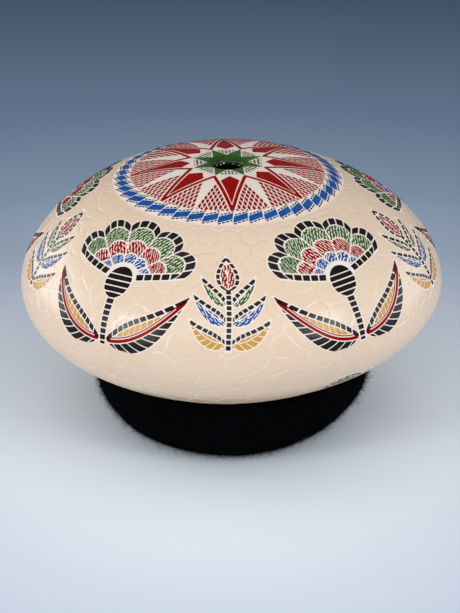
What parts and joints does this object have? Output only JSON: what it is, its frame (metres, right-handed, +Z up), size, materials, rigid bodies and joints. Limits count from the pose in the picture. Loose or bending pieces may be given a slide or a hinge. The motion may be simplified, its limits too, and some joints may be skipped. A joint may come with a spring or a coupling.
{
  "type": "carved pottery pot",
  "caption": "Low round seed pot of slip-painted clay with a small round mouth, sitting loose on a padded black knitted ring stand.",
  "frame": {"origin": "on the floor, at the centre of the ring stand's foot, under the pot's lowest point", "axes": "+Z up the axis that the pot, its mouth and the ring share; the picture looks along +Y with +X to the right"},
  "size_m": [0.22, 0.22, 0.1442],
  "materials": {
    "cane": "satin",
    "wadding": "matte",
    "black_knit": "matte",
    "black_thread": "matte",
    "painted_clay": "satin"
  },
  "bodies": {
    "ring_stand": {"ring_hoop": "cane", "ring_padding": "wadding", "ring_sleeve": "black_knit", "ring_seam_thread": "black_thread"},
    "pot": {"pot_body": "painted_clay"}
  },
  "joints": [
    {"name": "pot_lift", "type": "slide", "parent": "ring_stand", "child": "pot", "axis": [0, 0, 1], "range_m": [0, 0.06]}
  ]
}
